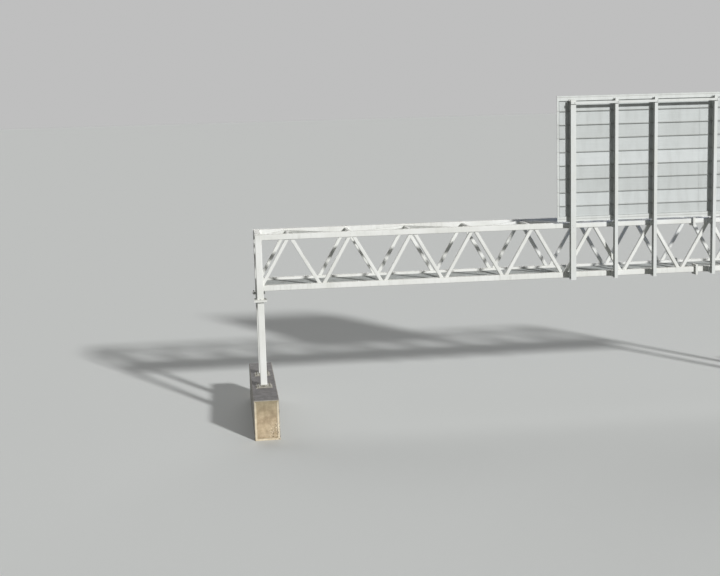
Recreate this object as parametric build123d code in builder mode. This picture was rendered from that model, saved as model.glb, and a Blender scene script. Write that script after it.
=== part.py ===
# Overhead sign gantry: a box truss of four chords on two pairs of legs, with one tall sign.
#
# X runs along the gantry, +Y points away from the face that carries the sign posts, +Z is up.
# The origin is on the ground, midway between the plinths and midway between the truss faces.
# The faces are called near (towards -Y) and far (towards +Y), the ends left (-X) and right (+X).

import os
from math import atan2, degrees, hypot

from build123d import *

# Driving dimensions in millimetres

# Truss
bay_length = 2750          # from one bottom node of the lattice to the next
bay_count = 10             # whole bays between the leg centres
truss_width = 2500         # near chord centre to far chord centre
truss_height = 2250        # bottom chord centre to top chord centre
underside_height = 6060    # ground to the underside of the bottom chords
chord_size = 250           # square hollow section of the four chords
diagonal_size = 150        # square hollow section of the side lattice
node_offset = 35           # from a node to where each diagonal meets the chord's centre line
bracing_size = 120         # square hollow section of the plan bracing

# Joint collars where two lengths of chord are bolted together
splice_node = 7            # the joints come just after this bottom node
bottom_splice_after_node = 730   # from that node to the joints of the bottom chords
top_splice_after_node = 580      # and to those of the top chords
splice_lip = 115           # how far a collar stands out from the chord
top_splice_lip = 40        # and above a top chord, where the sign stands close over it
splice_thickness = 100     # both flange plates together

# Legs and plinths
leg_size = 300             # square hollow section of legs and end posts
leg_joint_drop = 420       # bottom chord underside down to the joint in the leg
leg_flange_size = 560      # side of the bolted flange plates in the leg
leg_flange_thickness = 50
base_plate_size = 650
base_plate_thickness = 50
plinth_width = 1100        # along the gantry
plinth_height = 1750
plinth_beyond_leg = 2640   # leg centre to the plinth's end
plinth_chamfer = 30

# Walkway floor inside the truss
deck_thickness = 40
deck_edge_gap = 125        # floor edge to the chord beside it

# Sign
post_spacings = (1980, 1810, 2770)   # between post centres, from left to right
last_post_after_splice = 650    # bottom chord joint to the last post
first_post_flange = 240    # the first post is the heavier section
post_flange = 146
post_depth = 250
post_flange_thickness = 20
post_web_thickness = 14
post_below_chord = 50      # how far the posts run below the bottom chord
post_below_sign_top = 140  # from the sign's top edge down to the posts' tops
bracket_depth = 200        # from the chords to the posts, plates and webs together
bracket_width = 320        # plate against the chord
bracket_post_width = 260   # plate against the post
bracket_plate_thickness = 25
bracket_web_spacing = 140  # between the centres of the two webs
bracket_web_thickness = 20
sign_clearance = 70        # top of the truss to the sign's lower edge
sign_overhang = 670        # post centre to the sign's side edge
plank_height = 600
full_plank_count = 7
short_plank_height = 470   # the lowest and the highest plank
plank_thickness = 60
plank_groove = 14          # chamfer that makes the groove between planks
side_trim_width = 90
edge_trim_height = 220     # trims along the top and the bottom
sign_face_thickness = 4
rail_height = 110          # rail across the fronts of the posts
rail_depth = 60
rail_below_post_top = 130
rail_overhang = 130        # rail end past the outer posts' centres

# Places that follow from the sizes
span = bay_count * bay_length
left_end = -span / 2
near_y = -truss_width / 2
far_y = truss_width / 2
bottom_chord_z = underside_height + chord_size / 2
top_chord_z = bottom_chord_z + truss_height
truss_top = top_chord_z + chord_size / 2
chord_length = span - leg_size
clear_width = truss_width - chord_size
leg_joint_z = underside_height - leg_joint_drop

chord_front_y = near_y - chord_size / 2
post_back_y = chord_front_y - bracket_depth
post_front_y = post_back_y - post_depth
splice_node_x = left_end + splice_node * bay_length
bottom_splice_x = splice_node_x + bottom_splice_after_node
top_splice_x = splice_node_x + top_splice_after_node
post_xs = [bottom_splice_x + last_post_after_splice]
for spacing in reversed(post_spacings):
    post_xs.insert(0, post_xs[0] - spacing)
post_bottom = underside_height - post_below_chord

sign_left = post_xs[0] - sign_overhang
sign_right = post_xs[-1] + sign_overhang
sign_width = sign_right - sign_left
sign_middle_x = (sign_left + sign_right) / 2
sign_middle_y = post_back_y + plank_thickness / 2
sign_bottom = truss_top + sign_clearance
planks_bottom = sign_bottom + edge_trim_height
planks_top = planks_bottom + 2 * short_plank_height + full_plank_count * plank_height
sign_top = planks_top + edge_trim_height
plank_length = sign_width - 2 * side_trim_width
post_top = sign_top - post_below_sign_top

os.makedirs("parts", exist_ok=True)


def save(piece, name):
    """Give a finished piece its name and write it as one STEP file."""
    piece.part.label = name
    export_step(piece.part, f"parts/{name}.step")


def bar(start, end, width):
    """Draw one straight bar between two points of the sketch."""
    run = end[0] - start[0]
    rise = end[1] - start[1]
    with Locations(((start[0] + end[0]) / 2, (start[1] + end[1]) / 2)):
        Rectangle(hypot(run, rise), width, rotation=degrees(atan2(rise, run)))


# Concrete plinths

def plinth(x):
    """A long block across the gantry that carries the two legs of one end."""
    length = truss_width + 2 * plinth_beyond_leg
    with BuildPart() as block:
        with BuildSketch():
            with Locations((x, 0)):
                Rectangle(plinth_width, length)
        extrude(amount=plinth_height)
        chamfer(block.faces().sort_by(Axis.Z)[-1].edges(), plinth_chamfer)
    return block


# Legs, from the plinth to the joint under the truss

def leg(x, y):
    """A square column with its base plate and the flange plate of its upper joint."""
    with BuildPart() as column:
        with BuildSketch(Plane.XY.offset(plinth_height)):
            with Locations((x, y)):
                Rectangle(base_plate_size, base_plate_size)
        extrude(amount=base_plate_thickness)
        with BuildSketch(Plane.XY.offset(plinth_height)):
            with Locations((x, y)):
                Rectangle(leg_size, leg_size)
        extrude(amount=leg_joint_z - plinth_height)
        with BuildSketch(Plane.XY.offset(leg_joint_z - leg_flange_thickness)):
            with Locations((x, y)):
                Rectangle(leg_flange_size, leg_flange_size)
        extrude(amount=leg_flange_thickness)
    return column


# End posts, from the joint to the top of the truss

def end_post(x, y):
    """The upper length of a leg, which closes the end of one truss face."""
    with BuildPart() as post:
        with BuildSketch(Plane.XY.offset(leg_joint_z)):
            with Locations((x, y)):
                Rectangle(leg_flange_size, leg_flange_size)
        extrude(amount=leg_flange_thickness)
        with BuildSketch(Plane.XY.offset(leg_joint_z)):
            with Locations((x, y)):
                Rectangle(leg_size, leg_size)
        extrude(amount=truss_top - leg_joint_z)
    return post


for end_name, end_x in (("left", left_end), ("right", -left_end)):
    save(plinth(end_x), f"plinth_{end_name}")
    for side_name, side_y in (("near", near_y), ("far", far_y)):
        save(leg(end_x, side_y), f"leg_{end_name}_{side_name}")
        save(end_post(end_x, side_y), f"end_post_{end_name}_{side_name}")


# Crossbars that tie the near and far end posts together

def end_crossbar(x, z):
    """A chord-sized bar across the end of the truss."""
    with BuildPart() as crossbar:
        with BuildSketch(Plane.XZ.offset(-(near_y + leg_size / 2))):
            with Locations((x, z)):
                Rectangle(chord_size, chord_size)
        extrude(amount=-(truss_width - leg_size))
    return crossbar


for end_name, end_x in (("left", left_end), ("right", -left_end)):
    save(end_crossbar(end_x, bottom_chord_z), f"end_crossbar_{end_name}_bottom")
    save(end_crossbar(end_x, top_chord_z), f"end_crossbar_{end_name}_top")


# Side faces of the truss: two chords with a zigzag of diagonals, no uprights

def truss_face(y):
    """One welded lattice side between the end posts."""
    face_plane = Plane.XZ.offset(-y)
    middle_z = (bottom_chord_z + top_chord_z) / 2
    with BuildPart() as face:
        with BuildSketch(face_plane):
            with Locations((0, bottom_chord_z), (0, top_chord_z)):
                Rectangle(chord_length, chord_size)
        extrude(amount=chord_size / 2, both=True)
        with BuildSketch(face_plane):
            for bay in range(bay_count):
                bay_start = left_end + bay * bay_length
                bay_middle = bay_start + bay_length / 2
                bay_end = bay_start + bay_length
                foot = (bay_start + node_offset, bottom_chord_z)
                head = (bay_middle - node_offset, top_chord_z)
                bar(foot, head, diagonal_size)
                head = (bay_middle + node_offset, top_chord_z)
                foot = (bay_end - node_offset, bottom_chord_z)
                bar(head, foot, diagonal_size)
            with Locations((0, middle_z)):
                Rectangle(chord_length, truss_height, mode=Mode.INTERSECT)
        extrude(amount=diagonal_size / 2, both=True)
    return face


save(truss_face(near_y), "near_truss_face")
save(truss_face(far_y), "far_truss_face")


# Plan bracing between the two faces: a strut at every node and a zigzag between them

def plan_bracing(z, strut_xs):
    """One flat lattice that keeps the truss square, seen from above."""
    reach = clear_width / 2
    ends = [left_end] + strut_xs + [-left_end]
    side = -reach
    with BuildPart() as bracing:
        with BuildSketch(Plane.XY.offset(z - bracing_size / 2)):
            for strut_x in strut_xs:
                bar((strut_x, -reach), (strut_x, reach), bracing_size)
            for bay_start, bay_end in zip(ends[:-1], ends[1:]):
                bar((bay_start, side), (bay_end, -side), bracing_size)
                side = -side
            Rectangle(chord_length, clear_width, mode=Mode.INTERSECT)
        extrude(amount=bracing_size)
    return bracing


bottom_nodes = [left_end + node * bay_length for node in range(1, bay_count)]
top_nodes = [left_end + (node + 0.5) * bay_length for node in range(bay_count)]
bottom_bracing_z = underside_height + bracing_size / 2
save(plan_bracing(bottom_bracing_z, bottom_nodes), "bottom_plan_bracing")
save(plan_bracing(top_chord_z, top_nodes), "top_plan_bracing")

# Walkway floor, laid on the bottom bracing
with BuildPart() as walkway_floor:
    with BuildSketch(Plane.XY.offset(bottom_bracing_z + bracing_size / 2)):
        Rectangle(chord_length, clear_width - 2 * deck_edge_gap)
    extrude(amount=deck_thickness)
save(walkway_floor, "walkway_floor")


# Bolted joint collars around the chords

def chord_splice(x, y, z, lip_above):
    """The pair of flange plates that stands out round one chord."""
    collar_height = chord_size + splice_lip + lip_above
    collar_z = z + (lip_above - splice_lip) / 2
    with BuildPart() as collar:
        with BuildSketch(Plane.YZ.offset(x - splice_thickness / 2)):
            with Locations((y, collar_z)):
                Rectangle(chord_size + 2 * splice_lip, collar_height)
            with Locations((y, z)):
                Rectangle(chord_size, chord_size, mode=Mode.SUBTRACT)
        extrude(amount=splice_thickness)
    return collar


for side_name, side_y in (("near", near_y), ("far", far_y)):
    save(chord_splice(bottom_splice_x, side_y, bottom_chord_z, splice_lip),
         f"chord_splice_{side_name}_bottom")
    save(chord_splice(top_splice_x, side_y, top_chord_z, top_splice_lip),
         f"chord_splice_{side_name}_top")


# Sign posts and the brackets that hold them to the near chords

def sign_post(x, flange):
    """A deep I-section with its web square to the gantry."""
    middle_y = (post_front_y + post_back_y) / 2
    flange_shift = (post_depth - post_flange_thickness) / 2
    with BuildPart() as post:
        with BuildSketch(Plane.XY.offset(post_bottom)):
            with Locations((x, middle_y)):
                Rectangle(post_web_thickness, post_depth)
            with Locations((x, middle_y - flange_shift), (x, middle_y + flange_shift)):
                Rectangle(flange, post_flange_thickness)
        extrude(amount=post_top - post_bottom)
    return post


def post_brackets(x):
    """Two brackets, each a plate on the chord and one on the post with two webs between."""
    half_plate = bracket_plate_thickness / 2
    middle_y = (chord_front_y + post_back_y) / 2
    web_shift = bracket_web_spacing / 2
    with BuildPart() as brackets:
        for z in (bottom_chord_z, top_chord_z):
            with BuildSketch(Plane.XY.offset(z - chord_size / 2)):
                with Locations((x, chord_front_y - half_plate)):
                    Rectangle(bracket_width, bracket_plate_thickness)
                with Locations((x, post_back_y + half_plate)):
                    Rectangle(bracket_post_width, bracket_plate_thickness)
                with Locations((x - web_shift, middle_y), (x + web_shift, middle_y)):
                    Rectangle(bracket_web_thickness, bracket_depth)
            extrude(amount=chord_size)
    return brackets


for number, post_x in enumerate(post_xs, start=1):
    flange_width = first_post_flange if number == 1 else post_flange
    save(sign_post(post_x, flange_width), f"sign_post_{number}")
    save(post_brackets(post_x), f"post_brackets_{number}")


# Sign panel: planks laid on edge, closed by trims, with a thin sheet on its face

def plank(bottom, height):
    """One extruded plank, its long back edges chamfered so that a groove shows."""
    with BuildPart() as board:
        with BuildSketch(Plane.XY.offset(bottom)):
            with Locations((sign_middle_x, sign_middle_y)):
                Rectangle(plank_length, plank_thickness)
        extrude(amount=height)
        back = board.faces().sort_by(Axis.Y)[0]
        chamfer(back.edges().filter_by(Axis.X), plank_groove)
    return board


plank_heights = [short_plank_height] + full_plank_count * [plank_height] + [short_plank_height]
plank_bottom = planks_bottom
for number, height in enumerate(plank_heights, start=1):
    save(plank(plank_bottom, height), f"sign_plank_{number}")
    plank_bottom += height


def sign_trim(x, bottom, length, height):
    """A flat closing strip in the plane of the planks."""
    with BuildPart() as trim:
        with BuildSketch(Plane.XY.offset(bottom)):
            with Locations((x, sign_middle_y)):
                Rectangle(length, plank_thickness)
        extrude(amount=height)
    return trim


side_shift = (sign_width - side_trim_width) / 2
side_height = planks_top - planks_bottom
save(sign_trim(sign_middle_x, sign_bottom, sign_width, edge_trim_height), "sign_trim_bottom")
save(sign_trim(sign_middle_x, planks_top, sign_width, edge_trim_height), "sign_trim_top")
save(sign_trim(sign_middle_x - side_shift, planks_bottom, side_trim_width, side_height),
     "sign_trim_left")
save(sign_trim(sign_middle_x + side_shift, planks_bottom, side_trim_width, side_height),
     "sign_trim_right")

with BuildPart() as sign_face:
    with BuildSketch(Plane.XZ.offset(-(post_back_y + plank_thickness))):
        with Locations((sign_middle_x, (sign_bottom + sign_top) / 2)):
            Rectangle(sign_width, sign_top - sign_bottom)
    extrude(amount=-sign_face_thickness)
save(sign_face, "sign_face")

# Rail across the fronts of the posts, near their tops
with BuildPart() as sign_rail:
    with BuildSketch(Plane.XY.offset(post_top - rail_below_post_top - rail_height)):
        with Locations(((post_xs[0] + post_xs[-1]) / 2, post_front_y - rail_depth / 2)):
            Rectangle(post_xs[-1] - post_xs[0] + 2 * rail_overhang, rail_depth)
    extrude(amount=rail_height)
save(sign_rail, "sign_rail")
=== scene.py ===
# %% [markdown]
# # An overhead sign gantry
# A gantry carries one tall sign high over its opening. Its parts are a box truss of square hollow
# sections, two pairs of legs on long concrete plinths, I-section posts and a panel of planks.
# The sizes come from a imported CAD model, so every piece below is placed by reading that model
# and nothing has to be fitted by eye. X runs along the gantry, the posts stand on the -Y side.

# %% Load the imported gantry
from math import pi, radians

import bpy
from mathutils import Matrix, Vector


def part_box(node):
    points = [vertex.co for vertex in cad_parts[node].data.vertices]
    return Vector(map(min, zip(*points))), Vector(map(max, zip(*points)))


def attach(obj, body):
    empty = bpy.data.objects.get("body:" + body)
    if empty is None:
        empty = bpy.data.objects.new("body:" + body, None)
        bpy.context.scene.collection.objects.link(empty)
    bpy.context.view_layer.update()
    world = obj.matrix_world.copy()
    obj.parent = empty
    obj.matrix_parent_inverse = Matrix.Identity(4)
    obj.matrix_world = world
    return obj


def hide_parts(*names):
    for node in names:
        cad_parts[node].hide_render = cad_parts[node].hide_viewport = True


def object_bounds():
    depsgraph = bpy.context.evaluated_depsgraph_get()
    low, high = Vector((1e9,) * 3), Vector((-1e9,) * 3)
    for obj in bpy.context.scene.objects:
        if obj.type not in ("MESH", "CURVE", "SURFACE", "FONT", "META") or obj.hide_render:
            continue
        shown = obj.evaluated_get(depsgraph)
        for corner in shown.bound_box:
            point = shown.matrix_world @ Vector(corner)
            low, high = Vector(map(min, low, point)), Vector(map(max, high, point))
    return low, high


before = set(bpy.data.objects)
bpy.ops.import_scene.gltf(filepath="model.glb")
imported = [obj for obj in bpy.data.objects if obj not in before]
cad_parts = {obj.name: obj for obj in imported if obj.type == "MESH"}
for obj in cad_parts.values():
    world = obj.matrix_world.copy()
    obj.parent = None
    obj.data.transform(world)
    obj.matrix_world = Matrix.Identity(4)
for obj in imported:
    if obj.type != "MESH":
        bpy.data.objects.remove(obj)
cad_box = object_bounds()
cad_length = cad_box[1].x - cad_box[0].x
print(f"{len(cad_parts)} CAD nodes, {cad_length:.2f} m long, {cad_box[1].z:.2f} m tall")

# %% [markdown]
# ## Sizes that every step shares
# A few sizes are read off the CAD nodes: the leg centres, the chords and the bays between them.
# Reading them keeps the detailed pieces on the same lines as the plain solids they stand for.

# %% Read the main lines of the truss
near_low, near_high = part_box("near_truss_face")
far_low, far_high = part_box("far_truss_face")
leg_low, leg_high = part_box("leg_left_near")
plinth_low, plinth_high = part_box("plinth_left")
chord_size = near_high.y - near_low.y
near_y = (near_low.y + near_high.y) / 2
far_y = (far_low.y + far_high.y) / 2
left_end = (leg_low.x + leg_high.x) / 2
right_end = -left_end
bay_count = 10
bay_length = (right_end - left_end) / bay_count
bottom_chord_z = near_low.z + chord_size / 2
top_chord_z = near_high.z - chord_size / 2
chord_top_face = near_low.z + chord_size
chord_under_face = near_high.z - chord_size
print(f"{bay_count} bays of {bay_length:.2f} m, truss {top_chord_z - bottom_chord_z:.2f} m deep")

# %% [markdown]
# ## The camera
# The picture was taken from 13.7 m up and about 51 m away from the gantry, through a lens of 1170
# pixels focal length on a frame 720 pixels wide. A camera in Blender looks down its own -Z axis, so
# it is tipped up by a right angle less the pitch, turned about Z by the yaw and then rolled about
# its own axis. Writing the three turns as matrices keeps their order plain.

# %% Put the camera in its place
image_width = 720
sensor_width = 36
focal_pixels = 1170.6
camera_place = Vector((-15.12, -52.56, 13.69))
camera_pitch = 0.1479
camera_yaw = 0.1128
camera_roll = -0.0284
camera_reach = 8000


def deselect():
    """Leave nothing selected, so that the next operator acts on its own piece alone."""
    bpy.ops.object.select_all(action="DESELECT")


deselect()
bpy.ops.object.camera_add()
camera = bpy.context.object
camera.name = "photo_camera"
camera.data.sensor_width = sensor_width
camera.data.lens = focal_pixels * sensor_width / image_width
camera.data.clip_end = camera_reach
camera.matrix_world = (
    Matrix.Translation(camera_place)
    @ Matrix.Rotation(-camera_yaw, 4, "Z")
    @ Matrix.Rotation(pi / 2 - camera_pitch, 4, "X")
    @ Matrix.Rotation(camera_roll, 4, "Z")
)
bpy.context.scene.camera = camera
print(f"lens {camera.data.lens:.1f} mm")

# %% [markdown]
# ## Light
# On the day the sun stood low behind the camera and to its right, 23 degrees high, so each post
# throws a shadow to its left. The main lamp stands there, a little wider than the sun. A second,
# very wide lamp shines from behind, so that the sign's front isn't lost in shade, and it throws no
# shadow that can be seen. A pale world fills in the rest. The three are set so that a face towards
# the camera shows about the colour that is written in its material, and nothing pale is burnt out.

# %% Light the gantry
world_strength = 0.1
backdrop_grey = 0.52
lamp_distance = 60


def add_lamp(name, towards_lamp, strength, width):
    """A lamp far off in the given direction, as wide as an angle seen from the gantry."""
    direction = Vector(towards_lamp)
    deselect()
    bpy.ops.object.light_add(type="SUN", location=direction * lamp_distance)
    lamp = bpy.context.object
    lamp.name = name
    lamp.rotation_euler = direction.to_track_quat("Z", "Y").to_euler()
    lamp.data.energy = strength
    lamp.data.angle = width


add_lamp("low_main_lamp", (0.44, -0.81, 0.39), strength=3.2, width=radians(4))
add_lamp("wide_back_lamp", (-0.12, 0.93, 0.34), strength=1.7, width=radians(70))

scene = bpy.context.scene
scene.view_settings.view_transform = "Standard"
print("lamps:", [item.name for item in bpy.data.lights])

# %% [markdown]
# ## A way to write materials
# Every finish below is a small net of nodes. One function adds a node, sets what is given and links
# what is a node or a socket, so that each line of a material reads as one step. Weather comes in
# layers, and `lay_over` lays one: a colour that shows where a mask rises, up to a share. Colours
# are written as the hex values that a screen shows and turned to the linear ones Blender works with.

# %% Colours and nodes
# A Mix node's sockets for colours, by number, because those for plain numbers have the same names
MIX_FACTOR, MIX_FIRST, MIX_SECOND, MIX_RESULT = 0, 6, 7, 2


def linear(hex_colour):
    """Turn a screen colour such as "C8CCCA" into linear light."""
    parts = [int(hex_colour[place:place + 2], 16) / 255 for place in (0, 2, 4)]
    light = [part / 12.92 if part <= 0.04045 else ((part + 0.055) / 1.055) ** 2.4 for part in parts]
    return (*light, 1.0)


def set_sockets(tree, node, sockets):
    """Fill sockets by name or number: nodes and sockets are linked, hex colours made linear."""
    for name, value in sockets.items():
        if isinstance(value, bpy.types.Node):
            value = value.outputs[0]
        if isinstance(value, bpy.types.NodeSocket):
            tree.links.new(value, node.inputs[name])
        else:
            node.inputs[name].default_value = linear(value) if isinstance(value, str) else value


def add_node(tree, kind, sockets, **settings):
    """Add one node, with its settings by name and its sockets by name or number."""
    node = tree.nodes.new("ShaderNode" + kind)
    for name, value in settings.items():
        setattr(node, name, value)
    set_sockets(tree, node, sockets)
    return node


# %% Layers, a fresh finish and the rays that are seen
def lay_over(tree, under, over, mask, start=0.0, end=1.0, share=1.0):
    """Lay a colour over another where a mask goes from start to end, up to a share."""
    strength = add_node(tree, "MapRange", {"Value": mask, 1: start, 2: end, 3: 0.0, 4: share})
    mixed = add_node(tree, "Mix", {MIX_FACTOR: strength, MIX_FIRST: under, MIX_SECOND: over},
                     data_type="RGBA")
    return mixed.outputs[MIX_RESULT]


def new_finish(name):
    """A fresh material, its tree and shader, and the place of each surface point in metres."""
    finish = bpy.data.materials.new(name)
    finish.use_nodes = True
    tree = finish.node_tree
    place = add_node(tree, "TexCoord", {}).outputs["Object"]
    return finish, tree, tree.nodes["Principled BSDF"], place


def seen_rays(tree):
    """One where the camera sees a thing, directly, mirrored or through glass, zero for bounced light."""
    rays = add_node(tree, "LightPath", {}).outputs
    seen = rays["Is Camera Ray"]
    for kind in ("Is Glossy Ray", "Is Transmission Ray"):
        seen = add_node(tree, "Math", {0: seen, 1: rays[kind]}, operation="MAXIMUM")
    return seen


# %% The world, seen and unseen
world = bpy.data.worlds.new("pale_studio")
world.use_nodes = True
scene.world = world
air = world.node_tree
air.nodes.clear()
fill = add_node(air, "Background", {"Color": "FFFFFF", "Strength": world_strength})
backdrop = add_node(air, "Background",
                    {"Color": (backdrop_grey, backdrop_grey, backdrop_grey, 1), "Strength": 1.0})
choice = add_node(air, "MixShader", {0: seen_rays(air), 1: fill, 2: backdrop})
add_node(air, "OutputWorld", {"Surface": choice})
print("world fill", world_strength, "backdrop", backdrop_grey)

# %% [markdown]
# ## Finish: white paint on galvanised steel
# The truss and posts are galvanised and then coated with a two-pack paint in a very light grey. New,
# it is an even satin white. After years outdoors it carries thin vertical rain streaks, a film of
# dust darkened further as painted shade on its upper faces, painted shade on its undersides, soil at
# its foot and small rust freckles where grit has chipped it. Each of these is one mask: noise
# stretched along Z for the streaks, the direction of the surface for the dust and the painted shade,
# the height for soil, and the peaks of a fine noise for the freckles.

# %% White paint
soil_reach = 0.13
soil_full = 0.08


def weathered_paint(name, clean, streak_share):
    """Satin paint with rain streaks, dust and painted shade on its tops, painted shade on its undersides,
    soil and rust freckles.
    """
    finish, tree, shader, place = new_finish(name)
    patches = add_node(tree, "TexNoise", {"Vector": place, "Scale": 0.9, "Detail": 5.0})
    colour = lay_over(tree, clean, "D6D7CF", patches, 0.35, 0.7, 0.55)

    # Rain runs 20 to 160 mm apart, each about a metre long, that come in groups
    runs = add_node(tree, "Mapping", {"Vector": place, "Scale": (6.0, 6.0, 0.8)})
    streaks = add_node(tree, "TexNoise", {"Vector": runs, "Scale": 1.0, "Detail": 7.0, "Roughness": 0.65})
    streaky = add_node(tree, "MapRange", {"Value": streaks, 1: 0.5, 2: 0.8, 3: 0.0, 4: streak_share})
    groups = add_node(tree, "TexNoise", {"Vector": place, "Scale": 0.55, "Detail": 2.0})
    grouped = add_node(tree, "MapRange", {"Value": groups, 1: 0.42, 2: 0.62, 3: 0.1, 4: 1.0})
    washed = add_node(tree, "Math", {0: streaky, 1: grouped}, operation="MULTIPLY")
    colour = lay_over(tree, colour, "8E8D80", washed)

    # Dust and painted shade darken what faces up, and painted shade darkens what faces down
    facing = add_node(tree, "NewGeometry", {}).outputs["Normal"]
    upward = add_node(tree, "SeparateXYZ", {0: facing}).outputs["Z"]
    colour = lay_over(tree, colour, "AFADA1", upward, 0.5, 1.0, 0.55)
    colour = lay_over(tree, colour, "8A8A86", upward, -0.5, -1.0, 0.5)

    # Rain splashes soil on the base plates and the first few centimetres of the legs
    height = add_node(tree, "SeparateXYZ", {0: place}).outputs["Z"]
    colour = lay_over(tree, colour, "8F8B7D", height, leg_low.z + soil_reach, leg_low.z + soil_full, 0.85)

    # Rust freckles of 10 to 30 mm, drawn a little larger than real so that they show
    freckles = add_node(tree, "TexNoise", {"Vector": place, "Scale": 26.0, "Detail": 3.0})
    colour = lay_over(tree, colour, "8A5A38", freckles, 0.72, 0.76, 0.8)

    # Dirt dulls the gloss, and brushed paint leaves a faint unevenness
    dulled = add_node(tree, "MapRange", {"Value": streaks, 1: 0.3, 2: 0.8, 3: 0.42, 4: 0.68})
    grain = add_node(tree, "TexNoise", {"Vector": place, "Scale": 60.0, "Detail": 2.0})
    relief = add_node(tree, "Bump", {"Strength": 0.25, "Distance": 0.002, "Height": grain})
    set_sockets(tree, shader, {"Base Color": colour, "Roughness": dulled, "Normal": relief})
    return finish


truss_paint = weathered_paint("two_pack_white_paint", clean="EEEFEB", streak_share=0.4)
post_paint = weathered_paint("two_pack_grey_white_paint", clean="E0E3E1", streak_share=0.3)
print("paints:", truss_paint.name, post_paint.name)

# %% [markdown]
# ## Finish: galvanised steel
# Grating, bolts and clips are only dipped in zinc. Zinc freezes in crystals 5 to 20 mm wide, the
# spangle, that each tilt a little differently, and it dulls from bright grey to a matt mid grey
# outdoors. A Voronoi pattern has the same flat cells, so its random colour shifts the tone and the
# roughness from cell to cell.

# %% Zinc
def galvanised_steel(name, bright, dull, roughness):
    """Dulled zinc with a spangle of 15 mm cells."""
    finish, tree, shader, place = new_finish(name)
    cells = add_node(tree, "TexVoronoi", {"Vector": place, "Scale": 66.0})
    tone = add_node(tree, "SeparateColor", {0: cells.outputs["Color"]})
    zinc = lay_over(tree, bright, dull, tone)
    weather = add_node(tree, "TexNoise", {"Vector": place, "Scale": 2.2, "Detail": 5.0})
    colour = lay_over(tree, zinc, "77756C", weather, 0.45, 0.75, 0.5)
    gloss = add_node(tree, "MapRange",
                     {"Value": tone.outputs[1], 1: 0.0, 2: 1.0, 3: roughness - 0.08, 4: roughness + 0.12})
    set_sockets(tree, shader, {"Base Color": colour, "Roughness": gloss, "Metallic": 0.55})
    return finish


grating_zinc = galvanised_steel("galvanised_grating", "ACAFAD", "949795", roughness=0.55)
bolt_zinc = galvanised_steel("spun_galvanised_bolts", "B9BBB9", "9C9E9B", roughness=0.45)
anchor_zinc = galvanised_steel("soiled_galvanised_anchors", "9A978C", "807D73", roughness=0.62)
print("zinc:", grating_zinc.name, bolt_zinc.name, anchor_zinc.name)

# %% [markdown]
# ## Finish: mill aluminium
# The planks are extruded aluminium with no paint. The die leaves fine lines along their length, and
# the bare metal grows a matt oxide, so it looks light grey and only faintly metallic. Each plank
# comes from its own billet and differs a little in tone, rain has drawn pale and dark runs down the
# panel, and just above each joint dirt and painted shade darken the sheet. The tone of a plank is a
# random number picked by the plank's own height on the panel.

# %% Mill aluminium
short_bottom, short_top = (corner.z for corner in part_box("sign_plank_1"))
plank_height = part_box("sign_plank_2")[1].z - short_top


def mill_aluminium(name, clean, dirty):
    """Oxidised extruded aluminium, with die lines, a tone for each plank and rain runs."""
    finish, tree, shader, place = new_finish(name)
    height = add_node(tree, "SeparateXYZ", {0: place}).outputs["Z"]
    above = add_node(tree, "Math", {0: height, 1: short_top - plank_height}, operation="SUBTRACT")
    rows = add_node(tree, "Math", {0: above, 1: plank_height}, operation="DIVIDE")
    row = add_node(tree, "Math", {0: rows}, operation="FLOOR")
    lot = add_node(tree, "TexWhiteNoise", {"W": row}, noise_dimensions="1D")
    billet = lay_over(tree, clean, dirty, lot.outputs["Value"])

    # Die lines drawn 8 mm apart, coarser than the real 1 mm ones, so that they show at all
    lines = add_node(tree, "Mapping", {"Vector": place, "Scale": (0.5, 0.5, 120.0)})
    drawn = add_node(tree, "TexNoise", {"Vector": lines, "Scale": 1.0, "Detail": 3.0})
    lined = add_node(tree, "Mix", {MIX_FACTOR: 0.18, MIX_FIRST: billet, MIX_SECOND: drawn},
                     data_type="RGBA", blend_type="MULTIPLY")

    # Rain runs, and dirt with painted shade in the lowest tenth of each plank, just above its joint
    runs = add_node(tree, "Mapping", {"Vector": place, "Scale": (2.6, 2.6, 0.5)})
    rain = add_node(tree, "TexNoise", {"Vector": runs, "Scale": 1.0, "Detail": 7.0, "Roughness": 0.68})
    colour = lay_over(tree, lined.outputs[MIX_RESULT], "9FA09A", rain, 0.48, 0.85, 0.3)
    within = add_node(tree, "Math", {0: rows}, operation="FRACT")
    colour = lay_over(tree, colour, "8C8C84", within, 0.1, 0.0, 0.5)

    gloss = add_node(tree, "MapRange", {"Value": rain, 1: 0.3, 2: 0.8, 3: 0.56, 4: 0.74})
    relief = add_node(tree, "Bump", {"Strength": 0.15, "Distance": 0.001, "Height": drawn})
    set_sockets(tree, shader, {"Base Color": colour, "Roughness": gloss, "Metallic": 0.2, "Normal": relief})
    return finish


plank_metal = mill_aluminium("mill_finish_aluminium", "D3D7D6", "C4C8C6")
trim_metal = mill_aluminium("mill_finish_edge_trim", "E0E3E0", "D9DCD9")
print(f"plank rows {plank_height:.2f} m, short row {short_top - short_bottom:.2f} m")

# %% [markdown]
# ## Finish: retroreflective sheeting
# The sign's front is aluminium covered with plastic film that holds glass beads in a mesh
# of sealed cells. Close up the seals show as a fine lighter net, and the clear top film gives a
# satin gloss. The panel is drawn without lettering: a blue field with a plain white border.

# %% Sheeting
def bead_sheeting(name, colour, net_colour):
    """Cellular bead sheeting with the seals of its cells and a clear top film."""
    finish, tree, shader, place = new_finish(name)
    fade = add_node(tree, "TexNoise", {"Vector": place, "Scale": 0.8, "Detail": 4.0})
    field = lay_over(tree, colour, net_colour, fade, 0.35, 0.75, 0.25)

    # Cells of 20 mm, drawn coarser than the real 4 mm
    cells = add_node(tree, "TexVoronoi", {"Vector": place, "Scale": 50.0, "Randomness": 0.15},
                     feature="DISTANCE_TO_EDGE")
    netted = lay_over(tree, field, net_colour, cells.outputs["Distance"], 0.1, 0.04, 0.35)
    set_sockets(tree, shader, {"Base Color": netted, "Roughness": 0.38,
                               "Coat Weight": 0.35, "Coat Roughness": 0.25})
    return finish


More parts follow.
